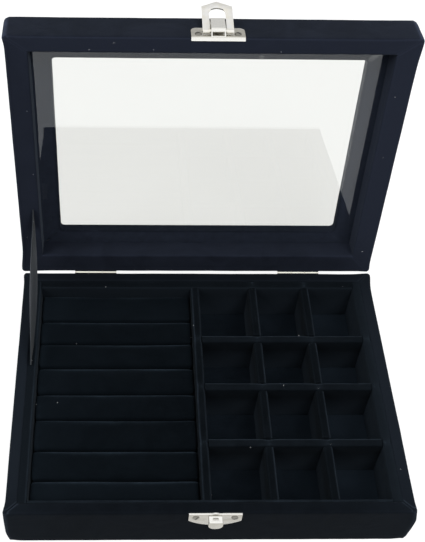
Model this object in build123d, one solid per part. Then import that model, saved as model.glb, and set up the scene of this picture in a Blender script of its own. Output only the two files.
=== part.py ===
from build123d import *
import os
from math import cos, radians, sin

# Cufflink and ring display box: a velvet-covered base with eight padded ring rolls on the
# left and twelve compartments on the right, under a hinged lid with a glass window.
# Millimetres. X runs along the box, the clasp faces -Y and +Z is up. The origin is the
# centre of the underside. The lid is drawn shut and then swung open about its hinge pins.

# ---- overall sizes ----
box_width = 200.0
box_depth = 151.4
base_height = 30.0
lid_height = 19.5
rim_gap = 0.65               # between the two rims when the lid is shut
lid_open_angle = 97.0

# ---- sheet materials ----
velvet = 0.4
wall_board = 5.0
floor_board = 3.0
floor_lining = 0.8
bottom_sheet = 0.6
bottom_sheet_inset = 0.8
fit_gap = 0.1                # around boards that are slipped in

# ---- rounding of the covered edges ----
corner_radius = 1.6
edge_radius = 1.1
board_edge_radius = 1.2
bottom_corner_radius = 1.4

# ---- lining tray in the base ----
side_lining = 4.3
front_lining = 1.4
rear_lining = 4.6
lining_drop = 0.4            # its top lies this far under the rim
divider_thickness = 5.0
divider_drop = 0.5
divider_edge_radius = 1.6
ring_section_width = 85.6    # from the left lining to the main divider
first_column_width = 28.2
second_column_width = 25.2
front_row_depth = 29.5
second_row_depth = 29.1
third_row_depth = 26.4

# ---- ring rolls ----
roll_count = 8
roll_gap = 0.4
roll_drop = 7.0              # crown below the rim
roll_end_gap = 0.3
bed_thickness = 3.0

# ---- lid ----
lid_side_wall = 10.9         # rim widths over board, retaining strip and velvet
lid_front_wall = 8.7
lid_rear_wall = 12.3
glass_depth = 11.6           # from the rim down to the glass
glass_thickness = 2.3
window_side_border = 20.9
window_front_border = 19.0
window_rear_border = 20.3
window_corner_radius = 2.0
window_edge_radius = 1.0

# ---- hinges ----
hinge_inset = 41.0           # from the box's side to a hinge's middle
hinge_width = 24.0
leaf_thickness = 0.5
leaf_height = 11.5
leaf_corner_radius = 1.5
knuckle_radius = 0.95
knuckle_gap = 0.15
pin_radius = 0.5
pin_clearance = 0.05
pin_offset = 0.5             # pin axis behind the back face
leaf_relief = 0.2            # between a leaf and the other leaf's knuckle
hinge_screw_spacing = 15.0
hinge_screw_drop = 6.5       # below or above the pin

# ---- screws ----
screw_head_radius = 1.75
screw_head_height = 0.7
screw_shank_radius = 0.75
screw_shank_length = 4.2
screw_slot_width = 0.5
screw_slot_depth = 0.35

# ---- clasp ----
clasp_shift = 2.0            # clasp centre right of the box's middle
clasp_width = 26.0
clasp_sheet = 0.6
hasp_height = 8.6
hasp_corner_radius = 2.5
hasp_lip = 0.25              # lower edge past its bend round the lid's rim
hasp_screw_spacing = 19.2
hasp_screw_height = 3.0
strap_width = 7.0
strap_reach = 13.2           # height of its upper fold over the rim
strap_fold_radius = 1.7
strap_bend_radius = 0.9
strap_opening = 5.8
strap_opening_reach = 2.5    # how far out of the front face it runs
flap_width = 15.0
flap_length = 21.0           # pivot to tip
flap_thickness = 0.8
flap_heel = 1.2
flap_shoulder = 17.0         # pivot to the shoulders of the pointed end
flap_bend = 14.6
flap_bend_angle = 8.0
flap_window_width = 8.0
flap_window_length = 15.8
flap_rest_angle = 14.0       # off the lid's front face when swung back
flap_pivot_height = 3.2
flap_pivot_stand_off = 2.0
crossbar_radius = 0.75
crossbar_inset = 0.3
catch_sheet = 0.9
catch_top_drop = 0.3
catch_tip_height = 6.3
catch_middle_height = 11.0
catch_screw_spacing = 19.0
catch_screw_drop = 3.6
nose_width = 7.1
nose_rise = 0.25             # its rounded top, over the base's rim
nose_foot = 1.0              # out from the front face, where the ledge starts
nose_ledge_drop = 1.8
nose_ledge_reach = 4.6
nose_sheet = 0.9
nose_bottom_drop = 8.2
nose_hole_width = 3.0
nose_hole_depth = 1.0
nose_hole_reach = 2.3

# ---- lid stay ----
ribbon_width = 10.0
ribbon_thickness = 0.6
ribbon_inset = 7.4           # its plane, in from the box's left face
ribbon_base_reach = 61.4     # seam point on the base, ahead of the back face
ribbon_lid_reach = 40.9      # seam point on the lid, ahead of the back face
ribbon_tuck = 6.0
ribbon_clearance = 0.3
ribbon_fold_room = 1.7
ribbon_slit_margin = 2.0

# ---- places worked out from the sizes ----
half_width = box_width / 2
half_depth = box_depth / 2
wall = wall_board + 2 * velvet
lining_floor = bottom_sheet + floor_board + floor_lining
lining_top = base_height - lining_drop
divider_top = base_height - divider_drop
well_half_width = half_width - wall
well_half_depth = half_depth - wall
tray_half_width = well_half_width - fit_gap - side_lining
tray_front_y = -well_half_depth + fit_gap + front_lining
tray_rear_y = well_half_depth - fit_gap - rear_lining
main_divider_x = -tray_half_width + ring_section_width + divider_thickness / 2
column_divider_xs = [
    main_divider_x + divider_thickness + first_column_width,
    main_divider_x + 2 * divider_thickness + first_column_width + second_column_width,
]
row_divider_ys = [
    tray_front_y + front_row_depth + divider_thickness / 2,
    tray_front_y + front_row_depth + second_row_depth + 1.5 * divider_thickness,
    tray_front_y + front_row_depth + second_row_depth + third_row_depth
    + 2.5 * divider_thickness,
]
bed_top = lining_floor + bed_thickness
roll_pitch = (tray_rear_y - tray_front_y) / roll_count
lid_rim = base_height + rim_gap
lid_top = lid_rim + lid_height
glass_face = lid_rim + glass_depth
frame_face = glass_face + glass_thickness
pin_y = half_depth + pin_offset
pin_z = base_height + rim_gap / 2
pin_axis = Axis((0, pin_y, pin_z), (1, 0, 0))
ribbon_x = -half_width + ribbon_inset
hinge_middles = [-half_width + hinge_inset, half_width - hinge_inset]
slit_low_x = ribbon_x - ribbon_thickness / 2 - ribbon_clearance
slit_high_x = ribbon_x + ribbon_thickness / 2 + ribbon_fold_room


# ---- helpers ----
def block(low_x, high_x, low_y, high_y, low_z, high_z):
    middle = ((low_x + high_x) / 2, (low_y + high_y) / 2, (low_z + high_z) / 2)
    return Pos(*middle) * Box(high_x - low_x, high_y - low_y, high_z - low_z)


def edges_at(shape, height, inside_x, inside_y, outer):
    """Level edges at a height, either outside or inside a rectangle about the Z axis."""
    found = []
    for edge in shape.edges():
        low, high = edge.bounding_box().min, edge.bounding_box().max
        if abs(low.Z - height) > 1e-4 or abs(high.Z - height) > 1e-4:
            continue
        middle = edge.center()
        beyond = abs(middle.X) > inside_x or abs(middle.Y) > inside_y
        if beyond == outer:
            found.append(edge)
    return found


def swing_open(shape):
    return shape.rotate(pin_axis, -lid_open_angle)


def slotted_screw():
    """A round-head screw along Z, its head's seat at the origin and its shank downwards."""
    head = Pos(0, 0, screw_head_height / 2) * Cylinder(screw_head_radius, screw_head_height)
    head = fillet(head.faces().sort_by(Axis.Z)[-1].edges(), screw_head_height * 0.8)
    slot = Pos(0, 0, screw_head_height) * Box(
        3 * screw_head_radius, screw_slot_width, 2 * screw_slot_depth)
    shank = Pos(0, 0, -screw_shank_length / 2) * Cylinder(screw_shank_radius, screw_shank_length)
    return head - slot + shank


def screws_at(places, outward_turn):
    """Screws with their seats at the given places, heads turned about X to face outwards."""
    screws = [Pos(*place) * Rot(outward_turn, 0, 0) * slotted_screw() for place in places]
    return Compound(children=screws)


def drilled(shape, screws):
    """A shape without the space of some screws."""
    for screw in screws.children:
        shape = shape - screw
    return shape


# ---- base: boards and cover ----
def base_ring(inset):
    """The four walls as one ring, drawn in by an inset on every covered face."""
    outer_x, outer_y = half_width - inset, half_depth - inset
    inner_x, inner_y = well_half_width + inset, well_half_depth + inset
    top = base_height - inset
    ring = block(-outer_x, outer_x, -outer_y, outer_y, bottom_sheet, top)
    ring = fillet(ring.edges().filter_by(Axis.Z), corner_radius - inset)
    ring = ring - block(-inner_x, inner_x, -inner_y, inner_y, bottom_sheet - 1, top + 1)
    ring = fillet(edges_at(ring, top, inner_x + 1, inner_y + 1, True), edge_radius - inset)
    return fillet(edges_at(ring, top, inner_x + 1, inner_y + 1, False), edge_radius - inset)


def split_walls(ring, low_z, high_z, board_inner_x, board_inner_y):
    """Front, rear, left and right boards of a ring: the ends run through, the sides butt."""
    far = box_width
    front = ring & block(-far, far, -far, -board_inner_y, low_z, high_z)
    rear = ring & block(-far, far, board_inner_y, far, low_z, high_z)
    left = ring & block(-far, -board_inner_x, -board_inner_y, board_inner_y, low_z, high_z)
    right = ring & block(board_inner_x, far, -board_inner_y, board_inner_y, low_z, high_z)
    return {"front": front, "rear": rear, "left": left, "right": right}


def base_floor():
    clear_x, clear_y = well_half_width - fit_gap, well_half_depth - fit_gap
    board_top = bottom_sheet + floor_board
    board = block(-clear_x, clear_x, -clear_y, clear_y, bottom_sheet, board_top)
    lining = block(-clear_x, clear_x, -clear_y, clear_y, board_top, board_top + floor_lining)
    sheet_x, sheet_y = half_width - bottom_sheet_inset, half_depth - bottom_sheet_inset
    sheet = block(-sheet_x, sheet_x, -sheet_y, sheet_y, 0, bottom_sheet)
    sheet = fillet(sheet.edges().filter_by(Axis.Z), bottom_corner_radius)
    return {"base_floor_board": board, "base_floor_lining": lining,
            "base_bottom_sheet": sheet}


# ---- base: lining tray and dividers ----
def rounded_top(board, axis, radius):
    """A board with the two long edges of its top rounded."""
    top_edges = board.faces().sort_by(Axis.Z)[-1].edges().filter_by(axis)
    return fillet(top_edges, radius)


def ribbon_slit():
    """The pocket behind the left lining where the ribbon is fixed and folds away."""
    middle_y = half_depth - ribbon_base_reach
    length = ribbon_width / sin(radians(ribbon_slope()))
    low_y = middle_y - length / 2 - ribbon_tuck - ribbon_slit_margin
    high_y = half_depth - ribbon_lid_reach + length / 2
    depth = 2 * ribbon_tuck
    return block(slit_low_x, slit_high_x, low_y, high_y, lining_top - depth, lining_top + 1)


def tray_linings():
    outer_x, outer_y = well_half_width - fit_gap, well_half_depth - fit_gap
    side = block(tray_half_width, outer_x, -outer_y, outer_y, lining_floor, lining_top)
    side = rounded_top(side, Axis.Y, board_edge_radius)
    front = block(-tray_half_width, tray_half_width, -outer_y, tray_front_y,
                  lining_floor, lining_top)
    rear = block(-tray_half_width, tray_half_width, tray_rear_y, outer_y,
                 lining_floor, lining_top)
    return {
        "tray_left_lining": mirror(side, Plane.YZ) - ribbon_slit(),
        "tray_right_lining": side,
        "tray_front_lining": rounded_top(front, Axis.X, front_lining * 0.4),
        "tray_rear_lining": rounded_top(rear, Axis.X, board_edge_radius),
    }


def long_divider(middle_x):
    """A divider along Y, notched from above where the row dividers cross it."""
    half = divider_thickness / 2
    board = block(middle_x - half, middle_x + half, tray_front_y, tray_rear_y,
                  lining_floor, divider_top)
    return rounded_top(board, Axis.Y, divider_edge_radius)


def compartment_dividers():
    half = divider_thickness / 2
    halfway = (lining_floor + divider_top) / 2
    columns = [long_divider(x) for x in column_divider_xs]
    rows = []
    for y in row_divider_ys:
        row = block(main_divider_x + half, tray_half_width, y - half, y + half,
                    lining_floor, divider_top)
        rows.append(rounded_top(row, Axis.X, divider_edge_radius))
    for i, y in enumerate(row_divider_ys):
        notch = block(main_divider_x, half_width, y - half, y + half, halfway, base_height)
        columns = [column - notch for column in columns]
        for x in column_divider_xs:
            rows[i] = rows[i] - block(x - half, x + half, -half_depth, half_depth, 0, halfway)
    nodes = {"main_divider": long_divider(main_divider_x)}
    nodes.update({f"column_divider_{i + 1}": c for i, c in enumerate(columns)})
    nodes.update({f"row_divider_{i + 1}": r for i, r in enumerate(rows)})
    return nodes


def ring_rolls():
    """Padded rolls side by side on a bed, the first one at the rear."""
    low_x = -tray_half_width + roll_end_gap
    high_x = -tray_half_width + ring_section_width - roll_end_gap
    radius = (roll_pitch - roll_gap) / 2
    crown = base_height - roll_drop
    nodes = {"roll_bed": block(-tray_half_width, -tray_half_width + ring_section_width,
                               tray_front_y, tray_rear_y, lining_floor, bed_top)}
    for i in range(roll_count):
        y = tray_rear_y - (i + 0.5) * roll_pitch
        sides = block(low_x, high_x, y - radius, y + radius, bed_top, crown - radius)
        dome = Pos((low_x + high_x) / 2, y, crown - radius) * Rot(0, 90, 0) * Cylinder(
            radius, high_x - low_x)
        roll = sides + (dome & block(low_x, high_x, y - radius, y + radius,
                                     crown - radius, crown))
        nodes[f"ring_roll_{i + 1}"] = roll
    return nodes


# ---- lid, drawn shut ----
def lid_shell(inset):
    """The whole lid as one body, drawn in by an inset on every covered face."""
    outer_x, outer_y = half_width - inset, half_depth - inset
    low_z, high_z = lid_rim + inset, lid_top - inset
    shell = block(-outer_x, outer_x, -outer_y, outer_y, low_z, high_z)
    shell = fillet(shell.edges().filter_by(Axis.Z), corner_radius - inset)
    recess_x = half_width - lid_side_wall + inset
    recess_front = half_depth - lid_front_wall + inset
    recess_rear = half_depth - lid_rear_wall + inset
    shell = shell - block(-recess_x, recess_x, -recess_front, recess_rear,
                          low_z - 1, glass_face)
    shell = shell - block(-well_half_width, well_half_width, -well_half_depth,
                          well_half_depth, glass_face, frame_face + inset)
    window_x = half_width - window_side_border + inset
    window_front = half_depth - window_front_border + inset
    window_rear = half_depth - window_rear_border + inset
    window = block(-window_x, window_x, -window_front, window_rear, glass_face, high_z + 1)
    shell = shell - fillet(window.edges().filter_by(Axis.Z), window_corner_radius)
    shell = fillet(edges_at(shell, high_z, window_x + 1, window_front + 1, True),
                   edge_radius - inset)
    shell = fillet(edges_at(shell, high_z, window_x + 1, window_front + 1, False),
                   window_edge_radius - inset)
    shell = fillet(edges_at(shell, low_z, recess_x + 1, recess_front + 1, True),
                   edge_radius - inset)
    return fillet(edges_at(shell, low_z, recess_x + 1, recess_front + 1, False),
                  edge_radius - inset)


def lid_boards(core):
    board_x, board_y = half_width - velvet - wall_board, half_depth - velvet - wall_board
    frame_low = frame_face + velvet
    walls = split_walls(core, lid_rim, frame_low, board_x, board_y)
    nodes = {f"lid_{side}_wall": wall_piece for side, wall_piece in walls.items()}
    far = box_width
    nodes["lid_window_frame"] = core & block(-far, far, -far, far, frame_low, lid_top)
    inner = core & block(-board_x, board_x, -board_y, board_y, lid_rim, glass_face)
    strip_x = half_width - lid_side_wall + velvet
    sides = block(strip_x, far, -far, far, 0, lid_top)
    nodes["lid_right_strip"] = inner & sides
    nodes["lid_left_strip"] = (inner & mirror(sides, Plane.YZ)) - lid_ribbon_slit()
    nodes["lid_front_strip"] = inner & block(-strip_x, strip_x, -far, 0, 0, lid_top)
    nodes["lid_rear_strip"] = inner & block(-strip_x, strip_x, 0, far, 0, lid_top)
    return nodes


def glass_pane():
    glass_x, glass_y = well_half_width - fit_gap, well_half_depth - fit_gap
    return block(-glass_x, glass_x, -glass_y, glass_y, glass_face, frame_face)


# ---- ribbon stay ----
def lid_point(reach):
    """Where a point of the shut lid's rim, so far ahead of the back face, goes when open."""
    ahead, up = -pin_offset - reach, rim_gap / 2
    turn = radians(lid_open_angle)
    return (pin_y + ahead * cos(turn) + up * sin(turn),
            pin_z - ahead * sin(turn) + up * cos(turn))


def ribbon_slope():
    """The taut ribbon's angle above the level, in degrees."""
    lid_y, lid_z = lid_point(ribbon_lid_reach)
    along = Vector(lid_y - (half_depth - ribbon_base_reach), lid_z - base_height, 0)
    return along.get_angle(Vector(1, 0, 0))


def lid_ribbon_slit():
    """The pocket behind the lid's left strip that takes the ribbon's other end."""
    reach = ribbon_width + ribbon_slit_margin
    middle_y = half_depth - ribbon_lid_reach
    return block(slit_low_x, slit_high_x, middle_y - reach, middle_y + reach,
                 lid_rim - 1, lid_rim + 2 * ribbon_tuck - ribbon_slit_margin)


def ribbon_stay():
    """The open lid's taut ribbon, edge on to the box's sides, tucked in at both ends."""
    base_y = half_depth - ribbon_base_reach
    lid_y, lid_z = lid_point(ribbon_lid_reach)
    length = Vector(lid_y - base_y, lid_z - base_height, 0).length
    band = Pos(0, length / 2, 0) * Box(
        ribbon_thickness, length + ribbon_tuck, ribbon_width)
    band = Rot(ribbon_slope(), 0, 0) * band
    return Pos(ribbon_x, base_y, base_height) * band


# ---- hinges ----
def knuckle(low_x, high_x):
    length = high_x - low_x
    tube = Cylinder(knuckle_radius, length) - Cylinder(pin_radius + pin_clearance, length + 1)
    return Pos((low_x + high_x) / 2, pin_y, pin_z) * Rot(0, 90, 0) * tube


def hinge_leaf(middle_x, upward, spans, gaps):
    """A flat leaf with knuckles on some spans of its width, cut back at the others."""
    half = hinge_width / 2
    back = half_depth
    low_z, high_z = pin_z - leaf_height, pin_z
    if upward:
        low_z, high_z = pin_z, pin_z + leaf_height
    leaf = block(middle_x - half, middle_x + half, back, back + leaf_thickness, low_z, high_z)
    far_edge = leaf.edges().filter_by(Axis.Y).sort_by(Axis.Z)
    leaf = fillet(far_edge[-2:] if upward else far_edge[:2], leaf_corner_radius)
    relief = knuckle_radius + leaf_relief
    for low, high in gaps:
        leaf = leaf - block(middle_x + low, middle_x + high, back - 1, pin_y,
                            pin_z - relief, pin_z + relief)
    for low, high in spans:
        leaf = leaf + knuckle(middle_x + low, middle_x + high)
    bore = Pos(middle_x, pin_y, pin_z) * Rot(0, 90, 0) * Cylinder(
        pin_radius + pin_clearance, hinge_width + 1)
    return leaf - bore


def hinge_screw_places(side):
    """Screw seats on the leaves' outer faces: side -1 for the base and 1 for the lid."""
    places = []
    for middle_x in hinge_middles:
        for shift in (-hinge_screw_spacing / 2, hinge_screw_spacing / 2):
            places.append((middle_x + shift, half_depth + leaf_thickness,
                           pin_z + side * hinge_screw_drop))
    return places


def hinges(base_screws, lid_screws):
    half, third = hinge_width / 2, hinge_width / 6
    outer = [(-half, -third - knuckle_gap / 2), (third + knuckle_gap / 2, half)]
    middle = [(-third + knuckle_gap / 2, third - knuckle_gap / 2)]
    middle_gap = [(-third - knuckle_gap / 2, third + knuckle_gap / 2)]
    outer_gap = [(-half - 1, -third + knuckle_gap / 2), (third - knuckle_gap / 2, half + 1)]
    base_nodes, lid_nodes = {}, {}
    for name, middle_x in zip(("left", "right"), hinge_middles):
        base_leaf = hinge_leaf(middle_x, False, outer, middle_gap)
        lid_leaf = hinge_leaf(middle_x, True, middle, outer_gap)
        base_nodes[f"hinge_{name}_base_leaf"] = drilled(base_leaf, base_screws)
        lid_nodes[f"hinge_{name}_lid_leaf"] = drilled(lid_leaf, lid_screws)
        pin = Pos(middle_x, pin_y, pin_z) * Rot(0, 90, 0) * Cylinder(pin_radius, hinge_width)
        base_nodes[f"hinge_{name}_pin"] = pin
    return base_nodes, lid_nodes


# ---- clasp: u across, out from the front face, up from a rim ----
def on_front(u, out, up, rim):
    return (clasp_shift + u, -half_depth - out, rim + up)


def front_plate(outline, rim, low_out, thickness):
    """An outline of (u, up) points as a plate on the front face."""
    corners = [on_front(u, low_out, up, rim) for u, up in outline]
    face = make_face(Polyline(*corners, close=True))
    return extrude(face, amount=thickness, dir=(0, -1, 0))


def catch_plate():
    half = clasp_width / 2
    top = -catch_top_drop
    tip, middle = top - catch_tip_height, top - catch_middle_height
    left = [on_front(-half, 0, z, base_height) for z in (top, tip)]
    right = [on_front(half, 0, z, base_height) for z in (tip, top)]
    low = on_front(0, 0, middle, base_height)
    outline = [Line(right[1], left[0]), Line(left[0], left[1]),
               ThreePointArc(left[1], low, right[0]), Line(right[0], right[1])]
    plate = extrude(make_face(outline), amount=catch_sheet, dir=(0, -1, 0))
    return plate + catch_nose()


def catch_nose():
    """The hooked nose that stands through the flap's window when the lid is shut."""
    ledge, bottom = -nose_ledge_drop, -nose_bottom_drop
    reach, sheet, foot = nose_ledge_reach, nose_sheet, nose_foot
    profile = [(0, nose_rise), (catch_sheet, nose_rise), (foot, ledge), (reach, ledge),
               (reach, bottom), (reach - sheet, bottom), (reach - sheet, ledge - sheet),
               (0, ledge - sheet)]
    corners = [on_front(-nose_width / 2, out, up, base_height) for out, up in profile]
    bar = extrude(make_face(Polyline(*corners, close=True)), amount=nose_width, dir=(1, 0, 0))
    radius = nose_width / 2
    upper = Pos(*on_front(0, 0, nose_rise - radius, base_height))
    lower = Pos(*on_front(0, 0, bottom + radius, base_height))
    round_end = Rot(90, 0, 0) * Cylinder(radius, 4 * reach)
    middle = block(clasp_shift - radius, clasp_shift + radius,
                   -half_depth - 2 * reach, -half_depth + reach,
                   base_height + bottom + radius, base_height + nose_rise - radius)
    outline = upper * round_end + lower * round_end + middle
    hole = Pos(*on_front(0, nose_hole_reach, ledge, base_height))
    slot = extrude(SlotOverall(nose_hole_width, nose_hole_depth), amount=2 * sheet, both=True)
    return (bar & outline) - hole * slot


def hasp_plate():
    half = clasp_width / 2
    outline = [(-half, edge_radius), (half, edge_radius), (half, hasp_height),
               (-half, hasp_height)]
    plate = front_plate(outline, lid_rim, 0, clasp_sheet)
    top_corners = plate.edges().filter_by(Axis.Y).sort_by(Axis.Z)[-2:]
    plate = fillet(top_corners, hasp_corner_radius)
    tab = [(-strap_width / 2, edge_radius), (strap_width / 2, edge_radius),
           (strap_width / 2, strap_reach - 2 * strap_fold_radius),
           (-strap_width / 2, strap_reach - 2 * strap_fold_radius)]
    plate = plate + front_plate(tab, lid_rim, 0, clasp_sheet)
    return plate + hasp_curl() + hasp_strap()


def hasp_curl():
    """The plate's lower edge, bent round the rounded edge of the lid's rim."""
    def at(radius, degrees, inward=0):
        out = -edge_radius + radius * cos(radians(degrees)) - inward
        up = edge_radius + radius * sin(radians(degrees))
        return on_front(-clasp_width / 2, out, up, lid_rim)

    inner, outer = edge_radius, edge_radius + clasp_sheet
    outline = [ThreePointArc(at(inner, 0), at(inner, -45), at(inner, -90)),
               Line(at(inner, -90), at(inner, -90, hasp_lip)),
               Line(at(inner, -90, hasp_lip), at(outer, -90, hasp_lip)),
               Line(at(outer, -90, hasp_lip), at(outer, -90)),
               ThreePointArc(at(outer, -90), at(outer, -45), at(outer, 0)),
               Line(at(outer, 0), at(inner, 0))]
    return extrude(make_face(outline), amount=clasp_width, dir=(1, 0, 0))


def hasp_strap():
    """A tongue folded down over the flap's crossbar and back in to the plate's foot."""
    middle = clasp_sheet / 2
    points = [(middle, strap_reach - 2 * strap_fold_radius), (middle, strap_reach),
              (flap_pivot_stand_off + 1.9, strap_reach), (flap_pivot_stand_off + 1.5, 2.9),
              (middle + 0.1, 0.2)]
    corners = [on_front(0, out, up, lid_rim) for out, up in points]
    path = FilletPolyline(*corners, radius=[strap_fold_radius, strap_fold_radius,
                                            strap_bend_radius])
    start = Plane(origin=path @ 0, x_dir=(1, 0, 0), z_dir=path % 0)
    strap = sweep(start * Rectangle(strap_width, clasp_sheet), path=path)
    opening = block(clasp_shift - strap_opening / 2, clasp_shift + strap_opening / 2,
                    -half_depth - strap_opening_reach, -half_depth - 1.5 * clasp_sheet,
                    lid_rim - 1, lid_rim + strap_opening_reach)
    return strap - opening


def clasp_flap():
    """The flap hanging down over the catch, as when the box is fastened."""
    half, pivot = flap_width / 2, flap_pivot_height
    low_out = flap_pivot_stand_off - flap_thickness / 2
    outline = [(-half, pivot + flap_heel), (half, pivot + flap_heel),
               (half, pivot - flap_shoulder), (0, pivot - flap_length),
               (-half, pivot - flap_shoulder)]
    flap = front_plate(outline, lid_rim, low_out, flap_thickness)
    window_half = flap_window_width / 2
    arch_up = pivot - flap_window_length + window_half
    window = block(clasp_shift - window_half, clasp_shift + window_half,
                   -half_depth - 9, -half_depth, lid_rim + arch_up, lid_rim + 9)
    arch = Pos(*on_front(0, 0, arch_up, lid_rim)) * Rot(90, 0, 0) * Cylinder(window_half, 20)
    flap = flap - window - arch
    flap = bent_end(flap, lid_rim + pivot - flap_bend)
    bar = Pos(*on_front(0, flap_pivot_stand_off, pivot, lid_rim)) * Rot(0, 90, 0) * Cylinder(
        crossbar_radius, flap_width - 2 * crossbar_inset)
    return flap + bar


def bent_end(flap, bend_z):
    """The flap with all below a level turned out from the box for a thumb."""
    far = box_width
    straight = flap & block(-far, far, -far, far, bend_z, 2 * far)
    end = flap & block(-far, far, -far, far, -far, bend_z)
    inner_y = -half_depth - flap_pivot_stand_off + flap_thickness / 2
    line = Axis((0, inner_y, bend_z), (1, 0, 0))
    return straight + end.rotate(line, -flap_bend_angle)


def flap_at_rest(flap):
    """The flap swung up and back to where it rests while the box is open."""
    pivot = Axis(on_front(0, flap_pivot_stand_off, flap_pivot_height, lid_rim), (1, 0, 0))
    return flap.rotate(pivot, flap_rest_angle - 180)


def clasp_screw_places(rim, spacing, up, seat):
    return [on_front(u, seat, up, rim) for u in (-spacing / 2, spacing / 2)]


# ---- assembly ----
base_hinge_screws = screws_at(hinge_screw_places(-1), -90)
lid_hinge_screws = screws_at(hinge_screw_places(1), -90)
catch_screws = screws_at(
    clasp_screw_places(base_height, catch_screw_spacing, -catch_screw_drop, catch_sheet), 90)
hasp_screws = screws_at(
    clasp_screw_places(lid_rim, hasp_screw_spacing, hasp_screw_height, clasp_sheet), 90)
base_leaves, lid_leaves = hinges(base_hinge_screws, lid_hinge_screws)

base_core = base_ring(velvet)
base_walls = split_walls(base_core, 0, base_height, half_width - velvet - wall_board,
                         half_depth - velvet - wall_board)
base_nodes = {f"base_{side}_wall": piece for side, piece in base_walls.items()}
base_nodes["base_velvet_cover"] = base_ring(0) - base_core
for node in ("base_front_wall", "base_velvet_cover"):
    base_nodes[node] = drilled(base_nodes[node], catch_screws)
for node in ("base_rear_wall", "base_velvet_cover"):
    base_nodes[node] = drilled(base_nodes[node], base_hinge_screws)
base_nodes.update(base_floor())
base_nodes.update(tray_linings())
base_nodes.update(compartment_dividers())
base_nodes.update(ring_rolls())
base_nodes["catch_plate"] = drilled(catch_plate(), catch_screws)
base_nodes["catch_screws"] = catch_screws
base_nodes.update(base_leaves)
base_nodes["base_hinge_screws"] = base_hinge_screws
base_nodes["ribbon_stay"] = ribbon_stay()

lid_core = lid_shell(velvet)
lid_nodes = lid_boards(lid_core)
lid_nodes["lid_velvet_cover"] = lid_shell(0) - lid_core - lid_ribbon_slit()
for node in ("lid_front_wall", "lid_velvet_cover"):
    lid_nodes[node] = drilled(lid_nodes[node], hasp_screws)
for node in ("lid_rear_wall", "lid_velvet_cover"):
    lid_nodes[node] = drilled(lid_nodes[node], lid_hinge_screws)
lid_nodes["glass_pane"] = glass_pane()
lid_nodes["hasp_plate"] = drilled(hasp_plate(), hasp_screws)
lid_nodes["hasp_screws"] = hasp_screws
lid_nodes.update(lid_leaves)
lid_nodes["lid_hinge_screws"] = lid_hinge_screws
lid_nodes["clasp_flap"] = flap_at_rest(clasp_flap())

os.makedirs("parts", exist_ok=True)
for name, shape in base_nodes.items():
    export_step(shape, f"parts/{name}.step")
for name, shape in lid_nodes.items():
    export_step(swing_open(shape), f"parts/{name}.step")
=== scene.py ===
"""A velvet display box for rings and cufflinks, standing open.

Metres throughout, in the frame of the solids: +X to the right, -Y to the front, +Z up, with the
origin at the centre of the underside. Lid pieces are drawn shut and then swung open.
"""

import math

import bmesh
import bpy
import numpy as np
from mathutils import Matrix, Vector, noise


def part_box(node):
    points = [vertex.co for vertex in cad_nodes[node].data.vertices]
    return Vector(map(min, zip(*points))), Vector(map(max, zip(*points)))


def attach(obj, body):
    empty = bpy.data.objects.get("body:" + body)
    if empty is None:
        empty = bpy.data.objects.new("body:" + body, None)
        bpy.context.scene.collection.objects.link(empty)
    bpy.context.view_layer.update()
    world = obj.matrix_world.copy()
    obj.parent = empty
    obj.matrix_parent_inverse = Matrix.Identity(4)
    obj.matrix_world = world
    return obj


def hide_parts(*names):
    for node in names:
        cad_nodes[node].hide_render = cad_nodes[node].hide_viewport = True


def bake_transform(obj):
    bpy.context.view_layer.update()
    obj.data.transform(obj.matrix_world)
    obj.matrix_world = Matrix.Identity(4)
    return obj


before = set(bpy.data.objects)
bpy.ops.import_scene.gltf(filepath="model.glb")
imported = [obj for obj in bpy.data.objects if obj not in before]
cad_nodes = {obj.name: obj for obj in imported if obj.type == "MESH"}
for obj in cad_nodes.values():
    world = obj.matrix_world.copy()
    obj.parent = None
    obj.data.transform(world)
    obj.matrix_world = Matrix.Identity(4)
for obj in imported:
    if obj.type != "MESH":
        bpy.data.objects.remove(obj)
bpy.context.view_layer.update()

MM = 0.001
LID_OPEN = math.radians(97)
PIN_Y, PIN_Z = 76.2 * MM, 30.325 * MM
OPEN_LID = (Matrix.Translation((0, PIN_Y, PIN_Z)) @ Matrix.Rotation(-LID_OPEN, 4, "X")
            @ Matrix.Translation((0, -PIN_Y, -PIN_Z)))


# ---- node trees ------------------------------------------------------------------------------
def arithmetic(operation):
    """The two methods of a sign, for a Value on its left and for one on its right."""
    return (lambda value, other: value.tree.math(operation, value, other),
            lambda value, other: value.tree.math(operation, other, value))


class Value:
    """An output of a node. Arithmetic on it adds Math nodes to its tree."""

    __add__, __radd__ = arithmetic("ADD")
    __sub__, __rsub__ = arithmetic("SUBTRACT")
    __mul__, __rmul__ = arithmetic("MULTIPLY")
    __truediv__, __rtruediv__ = arithmetic("DIVIDE")
    __pow__, __rpow__ = arithmetic("POWER")

    def __init__(self, tree, socket):
        self.tree = tree
        self.socket = socket

    def output(self, name):
        """Another output of the same node."""
        return Value(self.tree, self.socket.node.outputs[name])

    def between(self, low, high):
        """0 at low, 1 at high, and held to that range."""
        sockets = {"Value": self, "From Min": low, "From Max": high}
        return self.tree.node("ShaderNodeMapRange", sockets, clamp=True)


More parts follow.
